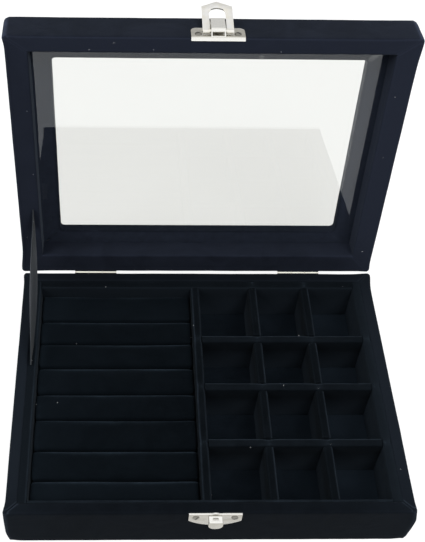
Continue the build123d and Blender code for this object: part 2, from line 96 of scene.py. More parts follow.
class Tree:
    """A shader or geometry node tree being put together."""

    def __init__(self, group):
        self.group = group

    def node(self, kind, sockets=None, out=0, **settings):
        """One output, by name or number, of a new node with these settings and sockets.

        A socket is given a plain value, another node's Value, or a list where it takes many.
        """
        made = self.group.nodes.new(kind)
        for name, value in settings.items():
            setattr(made, name, value)
        for name, value in (sockets or {}).items():
            for part in value if isinstance(value, list) else [value]:
                if isinstance(part, Value):
                    self.group.links.new(part.socket, made.inputs[name])
                else:
                    made.inputs[name].default_value = part
        return Value(self, made.outputs[out]) if len(made.outputs) else None

    def math(self, operation, *terms):
        """Arithmetic on Values and numbers."""
        return self.node("ShaderNodeMath", dict(enumerate(terms)), operation=operation)

    def vector(self, x=0.0, y=0.0, z=0.0):
        """A vector put together from its three parts."""
        return self.node("ShaderNodeCombineXYZ", {"X": x, "Y": y, "Z": z})

    def parts(self, vector):
        """The three parts of a vector."""
        x = self.node("ShaderNodeSeparateXYZ", {"Vector": vector})
        return x, x.output("Y"), x.output("Z")

    def chance(self, low, high, seed):
        """A number between two, by chance, for each point."""
        return self.node("FunctionNodeRandomValue", {2: low, 3: high, "Seed": seed}, out=1,
                         data_type="FLOAT")


class Finish(Tree):
    """A material, with the patterns that its finish is made of."""

    def __init__(self, name):
        self.material = bpy.data.materials.new(name)
        self.material.use_nodes = True
        super().__init__(self.material.node_tree)
        self.group.nodes.clear()
        self.place = self.node("ShaderNodeTexCoord", out="Object")

    def painted(self, label):
        """The numbers that the points of a mesh were given under this label."""
        return self.node("ShaderNodeAttribute", out="Fac", attribute_name=label)

    def noise(self, scale, detail=2.0, roughness=0.5, distortion=0.0, stretch=(1, 1, 1)):
        """A cloudy pattern, finer with scale and squeezed along each axis by stretch."""
        place = self.node("ShaderNodeMapping", {"Vector": self.place, "Scale": stretch})
        return self.node("ShaderNodeTexNoise", {
            "Vector": place, "Scale": scale, "Detail": detail, "Roughness": roughness,
            "Distortion": distortion})

    def mix(self, share, first, second):
        """From the first colour at 0 to the second at 1."""
        return self.node("ShaderNodeMix", {0: share, 6: first, 7: second}, out=2,
                         data_type="RGBA")

    def bump(self, height, distance, strength=1.0, under=None):
        """Relief of a height between 0 and 1 and a depth in metres, on top of another."""
        sockets = {"Height": height, "Distance": distance, "Strength": strength}
        if under is not None:
            sockets["Normal"] = under
        return self.node("ShaderNodeBump", sockets)

    def surface(self, sockets):
        """The finished material."""
        shader = self.node("ShaderNodeBsdfPrincipled", sockets)
        self.node("ShaderNodeOutputMaterial", {"Surface": shader})
        return self.material


def velvet(name, tone, sheen, deep=1.0, hue=(0.68, 1.0, 1.42), painted_light_times=2.6):
    """Short blue-black pile, paler where it is brushed, with painted light where more light falls
    and painted highlights along its folds and edges.

    deep is how much paler it is painted at the bottom of the box, against the shade there, and
    its last argument how many times paler it is under the painted light.
    """
    f = Finish(name)

    def pile(times):
        """The pile's colour, this many times as pale."""
        return tuple(tone * times * part for part in hue) + (1,)

    brushing = f.noise(46, 3, 0.55, 1.6).between(0.36, 0.68)
    streaks = f.noise(150, 2, 0.6, 0.8, (0.35, 1, 1)).between(0.3, 0.72)
    tufts = f.noise(2300, 2, 0.6)
    highlight_variation = f.noise(260, 3, 0.6).between(0.3, 0.75)
    lay, fold = f.painted("lay"), f.painted("fold")
    _, _, height = f.parts(f.place)
    colour = f.mix(brushing * 0.7 + streaks * 0.3, pile(0.75), pile(1.3))
    # Painted light: paler by the values on the points, where more light falls on a face.
    colour = f.mix(lay, colour, pile(painted_light_times))
    # Painted light: paler towards the bottom of the box, against the shade down there.
    if deep != 1.0:
        colour = f.mix(height.between(22 * MM, 7 * MM), colour, pile(deep))
    # Painted highlights: thin pale lines along edges, folds and roll shoulders, and lifts in shaded
    # slots.
    colour = f.mix(fold * (0.5 + highlight_variation * 0.5), colour, pile(10.0))
    colour = f.mix(tufts.between(0.4, 0.8) * 0.2, colour, pile(3.0))
    normal = f.bump(brushing, 0.4 * MM, 0.3)
    normal = f.bump(tufts, 0.10 * MM, 0.4, normal)
    return f.surface({
        "Base Color": colour, "Roughness": 0.95 - tufts * 0.1, "Normal": normal,
        "Specular IOR Level": 0.05, "Specular Tint": (0.66, 0.85, 1.0, 1),
        "Sheen Weight": sheen, "Sheen Roughness": 0.42,
        "Sheen Tint": (0.70, 0.84, 1.0, 1)})


def ribbon_weave(name):
    """Close-woven ribbon, ribbed across, with a paler edge and dark ends. UVs are in metres."""
    f = Finish(name)
    rib = 0.55 * MM
    across, along, _ = f.parts(f.node("ShaderNodeUVMap", uv_map="weave"))
    ribs = f.math("SINE", along * (2 * math.pi / rib)) * 0.5 + 0.5
    slub = f.noise(420, 2, 0.5, 0, (1, 4, 4))
    stretch = f.noise(260, 2, 0.5, 0.4, (1.6, 0.12, 0.12)).between(0.35, 0.65)
    high = along.between(40 * MM, 58 * MM)
    paling = (across.between(0.5 * MM, 3.5 * MM) * (1 - high)
            + across.between(-1.5 * MM, -4 * MM) * high)
    foot, head = along.between(34 * MM, 8 * MM), along.between(58 * MM, 80 * MM)
    ends = f.math("MAXIMUM", foot, head)
    dark, pale = (0.021, 0.024, 0.028, 1), (0.064, 0.071, 0.081, 1)
    colour = f.mix(ribs * 0.35 + slub * 0.25 + stretch * 0.4, dark, pale)
    colour = f.mix(paling * 0.6, colour, (0.078, 0.085, 0.096, 1))
    colour = f.mix(ends * 0.7, colour, (0.007, 0.010, 0.012, 1))
    return f.surface({
        "Base Color": colour, "Roughness": 0.66 - ribs * 0.12 + ends * 0.3,
        "Normal": f.bump(ribs, 0.08 * MM, 0.6), "Sheen Weight": 0.05,
        "Sheen Roughness": 0.4, "Specular IOR Level": 0.14})


def nickel(name, tone, satin=0.0):
    """Nickel plate with tumbling scratches, cloudy patches and painted highlights where bright
    reflections fall.

    satin is how much rougher it is than bright plate.
    """
    f = Finish(name)
    warm = (1.0, 0.965, 0.865)
    dull, bright = ((*(min(1.0, tone * v * part) for part in warm), 1) for v in (0.88, 1.08))
    polish = f.painted("polish")
    cloud = f.noise(240, 3, 0.6)
    scratches = f.noise(900, 2, 0.7, 0.4, (0.12, 1, 1)).between(0.45, 0.7)
    colour = f.mix(cloud.between(0.3, 0.7), dull, bright)
    # Painted highlight: near white where the points are marked for a glint.
    colour = f.mix(polish, colour, (0.93, 0.92, 0.88, 1))
    normal = f.bump(cloud, 0.12 * MM, 0.35)
    normal = f.bump(scratches, 0.012 * MM, 0.5, normal)
    return f.surface({
        "Base Color": colour, "Metallic": 1.0,
        "Roughness": 0.14 + satin + scratches * 0.1 + cloud * 0.1, "Normal": normal})


def clear_glass(name):
    """Sheet glass that lets lamplight straight through to the velvet behind it."""
    f = Finish(name)
    smear = f.noise(30, 2, 0.5).between(0.55, 0.8)
    seen = f.node("ShaderNodeBsdfPrincipled", {
        "Base Color": (0.800, 0.808, 0.785, 1), "Roughness": smear * 0.010,
        "Transmission Weight": 1.0, "IOR": 1.66, "Specular Tint": (0.93, 0.97, 1.0, 1)})
    passed = f.node("ShaderNodeBsdfTransparent", {"Color": (0.93, 0.94, 0.93, 1)})
    shadow = f.node("ShaderNodeLightPath", out="Is Shadow Ray")
    diffuse = f.node("ShaderNodeLightPath", out="Is Diffuse Ray")
    both = f.node("ShaderNodeMixShader", {
        0: f.math("MAXIMUM", shadow, diffuse), 1: seen, 2: passed})
    f.node("ShaderNodeOutputMaterial", {"Surface": both})
    return f.material


def fibreboard(name):
    """Plain brown board, which the velvet hides."""
    f = Finish(name)
    fibres = f.noise(700, 3, 0.65, 0.3, (1, 0.25, 1))
    colour = f.mix(fibres, (0.34, 0.23, 0.13, 1), (0.50, 0.37, 0.24, 1))
    return f.surface({"Base Color": colour, "Roughness": 0.85,
                      "Normal": f.bump(fibres, 0.1 * MM, 0.4)})


def bottom_paper(name):
    """Matt black paper with a fine leather grain."""
    f = Finish(name)
    grain = f.noise(1300, 2, 0.6)
    leather = f.node("ShaderNodeTexVoronoi", {"Vector": f.place, "Scale": 900},
                     feature="SMOOTH_F1")
    colour = f.mix(grain, (0.012, 0.012, 0.014, 1), (0.030, 0.030, 0.033, 1))
    normal = f.bump(leather, 0.08 * MM, 0.5)
    return f.surface({"Base Color": colour, "Roughness": 0.7 + grain * 0.15, "Normal": normal})


def lint_white(name):
    """Off-white cotton."""
    f = Finish(name)
    colour = f.mix(f.noise(300), (0.55, 0.56, 0.6, 1), (0.8, 0.8, 0.8, 1))
    return f.surface({"Base Color": colour, "Roughness": 0.8})


# The one velvet in different tones and hues as painted light: the lid's paler and bluer where more
# light and haze fall, the floor card's paler against the shade in the compartments.
LID_VELVET = velvet("lid_velvet", 0.0072, 0.053, hue=(0.81, 1.0, 1.60))
BASE_VELVET = velvet("base_velvet", 0.0033, 0.020, hue=(0.75, 1.0, 1.40), painted_light_times=4.2)
LINING = velvet("velvet_lining", 0.0027, 0.020, 6.0, hue=(0.72, 1.0, 1.36))
FLOOR_VELVET = velvet("floor_velvet", 0.0084, 0.020)
ROLL_VELVET = velvet("roll_velvet", 0.0026, 0.017, hue=(0.66, 1.0, 1.40))
# The one nickel plate in different tones as painted light: the hinges' and the flap's paler as
# painted highlights, the catch's darker as a painted reflection of shaded floor, and the screws'
# darker as painted shade.
NICKEL = nickel("nickel", 0.56)
HIGHLIGHT_NICKEL = nickel("bright_nickel", 0.96)
CATCH_NICKEL = nickel("catch_nickel", 0.46)
FLAP_NICKEL = nickel("flap_nickel", 1.08, 0.25)
SCREW_NICKEL = nickel("screw_nickel", 0.25)
GLASS = clear_glass("clear_glass")
BOARD = fibreboard("board")
PAPER = bottom_paper("bottom_paper")
RIBBON = ribbon_weave("ribbon")
LINT = lint_white("lint")


# ---- meshes ----------------------------------------------------------------------------------
def mesh_object(name, points, faces, material, **values):
    """An object from points in metres, with named values for each point."""
    mesh = bpy.data.meshes.new(name)
    mesh.from_pydata([tuple(p) for p in points], [], faces)
    mesh.validate()
    for label, numbers in values.items():
        point_values(mesh, label, numbers)
    mesh.materials.append(material)
    obj = bpy.data.objects.new(name, mesh)
    bpy.context.scene.collection.objects.link(obj)
    return obj


def woven(rows, columns, closed=False):
    """Four-sided faces over rows of points, the last column joined to the first if closed."""
    faces = []
    for r in range(rows - 1):
        low, high = r * columns, (r + 1) * columns
        for i in range(columns if closed else columns - 1):
            j = (i + 1) % columns
            faces.append((low + i, low + j, high + j, high + i))
    return faces


def point_values(mesh, label, numbers):
    """Gives each point of a mesh its number, for a finish to read by this label."""
    made = mesh.attributes.new(label, "FLOAT", "POINT")
    made.data.foreach_set("value", np.asarray(numbers, np.float32))


def tidy(obj, sharp_degrees=None):
    """Joins doubles, turns faces outwards and shades smooth all but edges sharper than this."""
    same_place = 1e-7
    work = bmesh.new()
    work.from_mesh(obj.data)
    bmesh.ops.remove_doubles(work, verts=work.verts, dist=same_place)
    bmesh.ops.recalc_face_normals(work, faces=work.faces)
    work.to_mesh(obj.data)
    work.free()
    obj.data.shade_smooth()
    if sharp_degrees is not None:
        obj.data.set_sharp_from_angle(angle=math.radians(sharp_degrees))
    return obj


def baked(obj):
    """The object with its modifiers applied to its mesh."""
    bpy.context.view_layer.update()
    evaluated = obj.evaluated_get(bpy.context.evaluated_depsgraph_get())
    mesh = bpy.data.meshes.new_from_object(evaluated)
    obj.modifiers.clear()
    old = obj.data
    obj.data = mesh
    bpy.data.meshes.remove(old)
    return obj


def swing_open(obj):
    """Moves a piece that was drawn shut to its place on the open lid."""
    obj.data.transform(OPEN_LID)
    return obj


def stands_for(obj, body, slot, *cad):
    """Hangs a finished piece on what it rides on and hides the solids it replaces; slot is not
    used.
    """
    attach(obj, body)
    if cad:
        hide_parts(*cad)
    return obj


def wave(point, scale, seed):
    """Smooth noise, -1 to 1, at a point in metres."""
    return noise.noise(Vector(point) * scale + Vector((seed * 7.3, seed * 3.1, seed * 5.7)))


def swells(point, *waves):
    """Unevenness in metres at a point, from waves of (height in mm, scale, seed)."""
    return sum(height * MM * wave(point, scale, seed) for height, scale, seed in waves)


def ramp(value, low, high):
    """0 at low, 1 at high, and held to that range."""
    return min(1.0, max(0.0, (value - low) / (high - low)))


def blended(first, second, share):
    """From the first number at 0 to the second at 1."""
    return first * (1 - share) + second * share


def bell(distance, width):
    """1 at no distance, falling off smoothly on either side."""
    return math.exp(-((distance / width) ** 2))


def spaced(low, high, step, crowded=()):
    """Positions from low to high a step apart, closer together around the crowded ones."""
    closest, around = 0.15 * MM, (0.0, 0.35, 0.8, 1.4, 2.2, 3.2)
    marks = set(np.round(np.linspace(low, high, max(2, int(round((high - low) / step)) + 1)), 7))
    for mark in crowded:
        spots = [mark + side * reach * MM for reach in around for side in (-1, 1)]
        marks.update(round(float(spot), 7) for spot in spots if low < spot < high)
    ordered = sorted(marks)
    kept = [ordered[0]]
    for mark in ordered[1:]:
        if mark - kept[-1] > closest:
            kept.append(mark)
    kept[-1] = ordered[-1]
    return kept


def arc(centre, radius, start, end, steps):
    """Points of an arc as (across, up), angles in degrees from +across towards up."""
    turns = [math.radians(start + (end - start) * i / steps) for i in range(steps + 1)]
    return [(centre[0] + radius * math.cos(t), centre[1] + radius * math.sin(t)) for t in turns]


# ---- velvet covers over the walls ------------------------------------------------------------
# Walls go round from the rear one: rear, left, front, right. Each corner has the number of the
# wall after it: rear right, rear left, front left, front right.
HALF_X, HALF_Y = 100 * MM, 75.7 * MM
CORNER, SHARPEST_CORNER = 1.6 * MM, 0.25 * MM
WINDOW_CORNER, WINDOW_INSET, BORDER_INSET = 2.0 * MM, 20.9 * MM, 12 * MM
CORNER_STEPS, LONG_STEPS, SHORT_STEPS = 4, 90, 68
NEAR_CORNER = [v * MM for v in (0.2, 0.6, 1.0, 1.4, 1.9, 2.6, 3.5, 4.6, 6.0)]


def wall_ring(inset_x, inset_front, inset_rear, up):
    """One closed line of points round the box, at insets from its outer faces.

    Each point is (place, way past its corner, corner, share of the next wall). The way is
    negative where the next corner is the nearer.
    """
    radius = max(CORNER - inset_x, SHARPEST_CORNER)
    if inset_x > BORDER_INSET - 0.1 * MM:
        radius = WINDOW_CORNER + min(WINDOW_INSET - inset_x, (inset_x - BORDER_INSET) / 6)
    high_x, low_y, high_y = HALF_X - inset_x, -HALF_Y + inset_front, HALF_Y - inset_rear
    corners = [(high_x, high_y), (-high_x, high_y), (-high_x, low_y), (high_x, low_y)]
    ways = [Vector((-1, 0, 0)), Vector((0, -1, 0)), Vector((1, 0, 0)), Vector((0, 1, 0))]
    bend = 0.5 * MM
    ring = []
    for i, (x, y) in enumerate(corners):
        cx, cy = x - math.copysign(radius, x), y - math.copysign(radius, y)
        for k in range(CORNER_STEPS + 1):
            share = k / CORNER_STEPS
            angle = math.radians(90 * i + 90 * share)
            spot = Vector((cx + radius * math.cos(angle), cy + radius * math.sin(angle), up))
            ring.append((spot, (share * 2 - 1) * bend, i, share))
        start, after = ring[-1][0], (i + 1) % 4
        end_x, end_y = corners[after]
        long_wall = i % 2 == 0
        length = (abs(end_x - x) if long_wall else abs(end_y - y)) - 2 * radius
        steps = LONG_STEPS if long_wall else SHORT_STEPS
        middle = list(np.linspace(NEAR_CORNER[-1], length - NEAR_CORNER[-1], steps))[1:-1]
        for way in NEAR_CORNER + middle + [length - v for v in reversed(NEAR_CORNER)]:
            spot = start + ways[i] * way
            if way < length / 2:
                ring.append((spot, way + bend, i, 1.0))
            else:
                ring.append((spot, way - length - bend, after, 0.0))
    return ring


def shared(values, corner, share):
    """Between the value of the wall before a corner and that of the wall after it."""
    return blended(values[corner - 1], values[corner], share)


def mitre(past, deep):
    """The fold across a level face at a corner: a groove between two ridges.

    Returns how far it stands up and how bright a highlight is painted along it.
    """
    ridge, lesser_ridge = past - 1.2 * MM, past + 1.1 * MM
    stands = deep * MM * (0.22 * bell(ridge, 0.5 * MM) + 0.15 * bell(lesser_ridge, 0.4 * MM)
                          - 0.30 * bell(past, 0.45 * MM))
    highlight_along = deep * (0.9 * bell(ridge, 0.4 * MM) + 0.6 * bell(lesser_ridge, 0.35 * MM))
    return stands, highlight_along


def past_edge(place, edge):
    """0 well inside an edge to 1 on it, over the last stretch before it."""
    turn = 1.2 * MM
    return max(0.0, abs(place) - edge + turn) / turn


def wall_cover(name, profile, seed, material, pad, lay, mitres, bunch, wide, under=(0,) * 4,
               inside=(0,) * 4):
    """Velvet drawn over the walls: a ring of points for each step of the profile.

    A step is (inset at the sides, inset at the front, inset at the rear, height, way out across,
    way out up, painted highlight). For each wall, pad is how far the cloth stands off its outside
    in mm, lay how much painted light lies on it, under how much more painted light lies
    on faces that look down, and inside how much painted light lifts the shade on its inner face.
    For each corner, mitres is how deep its fold is, bunch(corner, height) how far the cloth stands
    out, and wide how far along the walls it does.
    """
    lowest, slack, corner_reach = 0.05 * MM, 0.08 * MM, 14 * MM
    points, painted_highlights, painted_lights = [], [], []
    for inset_x, inset_front, inset_rear, up, out, rise, fold in profile:
        ring = wall_ring(inset_x, inset_front, inset_rear, up)
        outside = bell(inset_x, 1.2 * MM) if out > 0 else 0.0
        for (x, y, z), past, corner, share in ring:
            push = swells((x, y, z), (0.10, 45, seed), (0.05, 160, seed))
            push += slack + outside * MM * shared(pad, corner, share)
            # The line from a mitre and the one down each outer corner are painted highlights.
            if abs(rise) > 0.7:
                stands, line = mitre(past, mitres[corner])
                push += stands
            else:
                line = 0.5 * bell(past, 0.7 * MM) if out > 0.6 else 0.0
            side_x = past_edge(x, HALF_X - inset_x)
            side_y = past_edge(y, HALF_Y - (inset_rear if y > 0 else inset_front))
            total = math.hypot(side_x, side_y) or 1.0
            pulled = bunch(corner, up) * bell(past, wide[corner]) * bell(inset_x, 2.6 * MM)
            lifted = 0.7 * MM * bell(past, 3 * MM) * bell(up, 1.2 * MM)
            points.append((x + math.copysign(out * push * side_x / total + pulled, x),
                           y + math.copysign(out * push * side_y / total + 0.5 * pulled, y),
                           max(z + rise * push, lowest) + lifted))
            # Painted light: each wall's share, more on faces that look down, and more where shade
            # falls on inner faces.
            blend = 0.5 * math.exp(-abs(past) / corner_reach)
            after = 1 - blend if share > 0.5 else blend
            painted_glow = shared(inside, corner, after) * (out < -0.9)
            painted_highlights.append(min(1.0, fold + line + painted_glow))
            painted_lights.append(shared(lay, corner, after) + shared(under, corner, after) * (rise < -0.7))
    faces = woven(len(profile), len(ring), closed=True)
    return mesh_object(name, points, faces, material, fold=painted_highlights, lay=painted_lights)


def turned(centre_in, centre_up, radius, start, end, steps, extra=(0, 0, 0)):
    """Profile steps round an edge, from one angle in degrees to another.

    centre_in is the inset of its centre from the outer face, centre_up its height, and extra
    what is added to the insets at the sides, the front and the rear.
    """
    made = []
    for i in range(steps + 1):
        angle = math.radians(start + (end - start) * i / steps)
        inset = centre_in - radius * math.cos(angle)
        # The last number is a faint painted highlight over the rounded edge.
        made.append((*(inset + more for more in extra), centre_up + radius * math.sin(angle),
                     math.cos(angle), math.sin(angle), 0.04 * math.sin(math.pi * i / steps)))
    return made


def straight(inset, low, high, steps, out, extra=(0, 0, 0)):
    """Steps up or down an upright face."""
    return [(*(inset + more for more in extra), low + (high - low) * i / steps, out, 0.0, 0.0)
            for i in range(steps + 1)]


def level(low, high, up, steps, rise, fold=0.0):
    """Steps across a level face, from one triple of insets to another."""
    return [tuple(low[k] + (high[k] - low[k]) * i / steps for k in range(3)) + (up, 0.0, rise, fold)
            for i in range(steps + 1)]


def joined(*runs):
    """One profile from runs of steps, each starting where the one before it ended."""
    return [*runs[0], *(step for run in runs[1:] for step in run[1:])]


def rounded_off(distance, radius):
    """From 0 at an edge to 1 a radius in from it, along a quarter circle."""
    return math.sqrt(1 - (1 - ramp(distance, 0, radius)) ** 2)


def base_cover():
    """From under the foot up the outside, over the rim and down the inner walls."""
    wall, edge, top = 5.8 * MM, 1.1 * MM, 30 * MM
    ground, foot, turned_under, inner_foot = 0.1 * MM, 0.5 * MM, 0.9 * MM, 4.5 * MM
    at_rim, at_foot, reach = (1.3, 0.5, 0.9, 0.2), (0.7, 0.7, 1.25, 1.75), (20, 20, 20, 9)
    tucked = ((0.0, 1), (0.0, 1), (0.8, 6), (1.0, 12))

    def bunch(corner, up):
        """From one fullness at the rim to another below it, tucked in at the front's foot."""
        tuck, height = tucked[corner]
        down = ramp(top - up, 0, reach[corner] * MM)
        amount = blended(at_rim[corner], at_foot[corner], down)
        return MM * (amount * rounded_off(up - 0.2 * MM, 4 * MM) - tuck * bell(up, height * MM))

    under_foot = [(turned_under,) * 3 + (ground, 0.0, -0.5, 0.0)]
    profile = under_foot + joined(
        turned(foot, ground + foot, foot, -90, 0, 4),
        straight(0, ground + foot, top - edge, 16, 1),
        turned(edge, top - edge, edge, 0, 90, 7),
        level((edge,) * 3, (wall - edge,) * 3, top, 6, 1),
        turned(wall - edge, top - edge, edge, 90, 180, 7),
        straight(wall, top - edge, inner_foot, 8, -1))
    # Painted light: each wall's velvet paler or darker by how light falls on it.
    obj = tidy(wall_cover("base_cover", profile, 3, BASE_VELVET, pad=(0.15, 0.2, 0.2, 0.35),
                          lay=(0.16, 0.66, 0.05, 0.62), mitres=(0.35, 0.35, 1.0, 0.9), bunch=bunch,
                          wide=(6 * MM, 3.4 * MM, 3.4 * MM, 3.4 * MM)))
    return stands_for(obj, "base", "velvet_cover", "base_velvet_cover")


def lid_cover():
    """Drawn shut: from the glass down the inner walls, round the rim, up, over and in."""
    rim, top, edge = 30.65 * MM, 50.15 * MM, 1.1 * MM
    glass, over_glass, lip, tuck = 42.25 * MM, 44.55 * MM, 1.0 * MM, 0.5 * MM
    inner = (10.9 * MM, 8.7 * MM, 12.3 * MM)
    window = (20.9 * MM, 19.0 * MM, 20.3 * MM)
    hidden_end = (6 * MM,) * 3
    at_rim, at_top = (0.35, 1.3, 0.7, 0.85), (0.6, 1.0, 1.15, 0.9)
    tucked = (0.0, 0.0, 0.9, 0.5)

    def bunch(corner, up):
        """From one fullness at the rim to another at the top, tucked in there at the front."""
        amount = blended(at_rim[corner], at_top[corner], ramp(up, rim, top))
        return MM * (amount * rounded_off(top - up + 0.3 * MM, 4 * MM)
                     - tucked[corner] * bell(top - up, 2 * MM))

    def less(insets, step):
        """The same insets, each a step nearer the outer face."""
        return tuple(inset - step for inset in insets)

    shift, window_shift = less(inner, inner[0]), less(window, window[0])
    profile = joined(
        straight(inner[0], glass, rim + edge, 8, -1, shift),
        turned(inner[0] - edge, rim + edge, edge, 180, 270, 7, shift),
        level(less(inner, edge), (edge,) * 3, rim, 10, -1),
        turned(edge, rim + edge, edge, -90, 0, 7),
        straight(0, rim + edge, top - edge, 12, 1),
        turned(edge, top - edge, edge, 0, 90, 7),
        level((edge,) * 3, less(window, lip), top, 16, 1),
        turned(window[0] - lip, top - lip, lip, 90, 180, 5, window_shift),
        straight(window[0], top - lip, over_glass + tuck, 4, -1, window_shift),
        turned(window[0] - tuck, over_glass + tuck, tuck, 180, 270, 3, window_shift),
        # Painted light on the border seen through the glass.
        level(less(window, tuck), hidden_end, over_glass, 10, -1, fold=0.2))
    # Painted light: each wall paler by how light falls on it, more on its downward and inner faces.
    obj = wall_cover("lid_cover", profile, 8, LID_VELVET, pad=(0.15, 0.4, 0.05, 0.55),
                     lay=(0.15, 0.35, 0.10, 0.75), mitres=(0.12, 0.12, 0.15, 0.15), bunch=bunch,
                     wide=(3.4 * MM, 9 * MM, 3.4 * MM, 9 * MM), under=(-0.1, 0.14, 0.62, 0.2),
                     inside=(0.02, 0.0, 0.0, 0.09))
    swing_open(tidy(obj))
    return stands_for(obj, "lid", "velvet_cover", "lid_velvet_cover")


# ---- velvet boards of the tray ---------------------------------------------------------------
def board_section(half, reach, turns, bottom, top):
    """A wrapped board's section, from its low side's foot over the top to the other foot."""
    shares = (0, 0.3, 0.6, 0.82)
    cross = [(-reach[0], bottom + (top - bottom) * v) for v in shares]
    cross += arc((-reach[0] + turns[0], top - turns[0]), turns[0], 180, 90, 8)
    cross += [(-half * 0.12, top), (half * 0.12, top)]
    cross += arc((reach[1] - turns[1], top - turns[1]), turns[1], 90, 0, 8)
    return cross + [(reach[1], bottom + (top - bottom) * v) for v in reversed(shares)]


def soft_board(name, axis, seed, edges=(0.5, 1.0), cuts=(), pinches=(), snug=0,
               paling=(0.0, 0.0), lay=(0.0, 0.0)):
    """A board wrapped in velvet, standing where its solid does, along axis 0 or 1.

    edges are how bright a highlight is painted along its low and its high edge. cuts are (low,
    high, top, bottom) along the board, where another board crosses it. pinches are places where
    the velvet is drawn in, with painted glints on top of them. snug is the side, -1 or 1, that is
    pressed up against the wall's cover. paling is how much paler its sides and its top are painted,
    as painted light against shade, and lay how much more painted light lies on them.
    """
    low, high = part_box(name)
    other = 1 - axis
    middle, half = (low[other] + high[other]) / 2, (high[other] - low[other]) / 2
    full_round, tight_round, pressed, crest = min(1.6 * MM, half * 0.72), 0.4 * MM, 0.8 * MM, 3 * MM
    reach = [half + pressed * (snug == side) for side in (-1, 1)]
    turns = [tight_round if snug == side else full_round for side in (-1, 1)]
    marks = [p for cut in cuts for p in cut[:2]] + list(pinches)
    stations = spaced(low[axis], high[axis], 1.6 * MM, marks)
    points, painted_highlights, painted_lights = [], [], []
    for s in stations:
        top, bottom = high.z, low.z
        for cut_low, cut_high, cut_top, cut_bottom in cuts:
            if cut_low < s < cut_high:
                top, bottom = cut_top or top, cut_bottom or bottom
        near = min((abs(s - p) for p in pinches), default=1.0)
        draw, glint_reach = bell(near, 2.6 * MM), bell(near, 0.7 * MM)
        sag = swells((s, middle, 0), (0.16, 60, seed + 2)) - 0.14 * MM
        cross = board_section(half, reach, turns, bottom, top)
        for across, up in cross:
            spot = [0.0, 0.0, up]
            spot[axis], spot[other] = s, middle + across
            high_up = max(0.0, 1 - (top - up) / crest)
            swell = swells(spot, (0.12, 70, seed), (0.07, 240, seed + 1))
            side = across / half
            spot[other] += side * (swell - 0.12 * MM) - side * 0.45 * MM * draw * high_up
            spot[2] += high_up * (sag - 0.1 * MM * draw + 0.25 * swell)
            points.append(tuple(spot))
            # Painted highlights along the edges and glints at crossings, and painted light to lift
            # the shaded sides.
            turn, edge = turns[across > 0], edges[across > 0]
            streak = 0.75 + 0.35 * wave((s, middle, across * 3), 85, seed + 5)
            painted_glow = edge * bell(abs(across) - (half - 0.35 * turn), 0.42 * MM) * streak
            crossing_glint = 0.9 * glint_reach * high_up * max(0.0, wave((s, across, 0), 900, seed + 7))
            on_top = high_up * (abs(across) < half - 0.2 * turn)
            painted_highlights.append(min(1.0, painted_glow * (high_up > 0.55) + crossing_glint + 0.12 * draw
                             + paling[0] + (paling[1] - paling[0]) * on_top))
            painted_lights.append(lay[0] + (lay[1] - lay[0]) * (high_up > 0.9))
    count = len(cross)
    faces = woven(len(stations), count, closed=True)
    faces.append(tuple(range(count)))
    faces.append(tuple((len(stations) - 1) * count + i for i in reversed(range(count))))
    obj = mesh_object(name + "_velvet", points, faces, LINING, fold=painted_highlights, lay=painted_lights)
    tidy(obj, 50)
    return stands_for(obj, "base", "velvet_lining", name)


def tray_boards():
    """Every board of the tray, the dividers halved into each other where they cross."""
    half = 2.5 * MM
    columns = [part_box(f"column_divider_{i}") for i in (1, 2)]
    rows = [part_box(f"row_divider_{i}") for i in (1, 2, 3)]
    column_x = [(low.x + high.x) / 2 for low, high in columns]
    row_y = [(low.y + high.y) / 2 for low, high in rows]
    halfway = (rows[0][0].z + rows[0][1].z) / 2
    over_rows = [(y - half, y + half, halfway, None) for y in row_y]
    under_columns = [(x - half, x + half, None, halfway) for x in column_x]
    soft_board("main_divider", 1, 11, (0.85, 0.6), pinches=row_y)
    for i in (1, 2):
        soft_board(f"column_divider_{i}", 1, 20 + i, (0.15, 1.0), over_rows, row_y)
    for i in (1, 2, 3):
        soft_board(f"row_divider_{i}", 0, 30 + i, (0.0, 1.8), under_columns, column_x,
                   paling=(0.0, 0.12))
    soft_board("tray_left_lining", 1, 41, (0.3, 0.9), snug=-1, lay=(1.0, 0.65))
    soft_board("tray_right_lining", 1, 42, (0.0, 0.0), pinches=row_y, snug=1,
               paling=(0.24, 0.08), lay=(1.0, 0.8))
    soft_board("tray_front_lining", 0, 51, (0.8, 1.0))
    soft_board("tray_rear_lining", 0, 52, (0.0, 0.0), pinches=column_x, snug=1,
               paling=(0.06, 0.0), lay=(1.0, 0.2))


def floor_velvet():
    """The velvet-faced card at the bottom, painted paler towards the right wall as painted light.
    """
    low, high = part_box("base_floor_lining")
    step, thickness, sunk = 2.4 * MM, 0.5 * MM, 0.2 * MM
    painted_light_starts, painted_light_grows, by_wall = 46 * MM, 16 * MM, 9 * MM
    xs, ys = spaced(low.x, high.x, step), spaced(low.y, high.y, step)
    points, painted_lights = [], []
    for y in ys:
        for x in xs:
            swell = swells((x, y, 0), (0.14, 70, 61), (0.06, 220, 62))
            points.append((x, y, high.z - sunk + swell))
            # Painted light: paler towards the right wall.
            painted_lights.append(min(1.0, 0.3 * ramp(x - painted_light_starts, 0, painted_light_grows)
                            + 0.7 * bell(high.x - x, by_wall)))
    faces = woven(len(ys), len(xs))
    obj = mesh_object("floor_card_velvet", points, faces, FLOOR_VELVET, lay=painted_lights)
    card = obj.modifiers.new("card", "SOLIDIFY")
    card.thickness, card.offset = thickness, -1
    baked(obj)
    tidy(obj, 50)
    return stands_for(obj, "base", "velvet_lining", "base_floor_lining")


# ---- geometry node trees ---------------------------------------------------------------------
SOCKET_KINDS = {float: "NodeSocketFloat", int: "NodeSocketInt"}


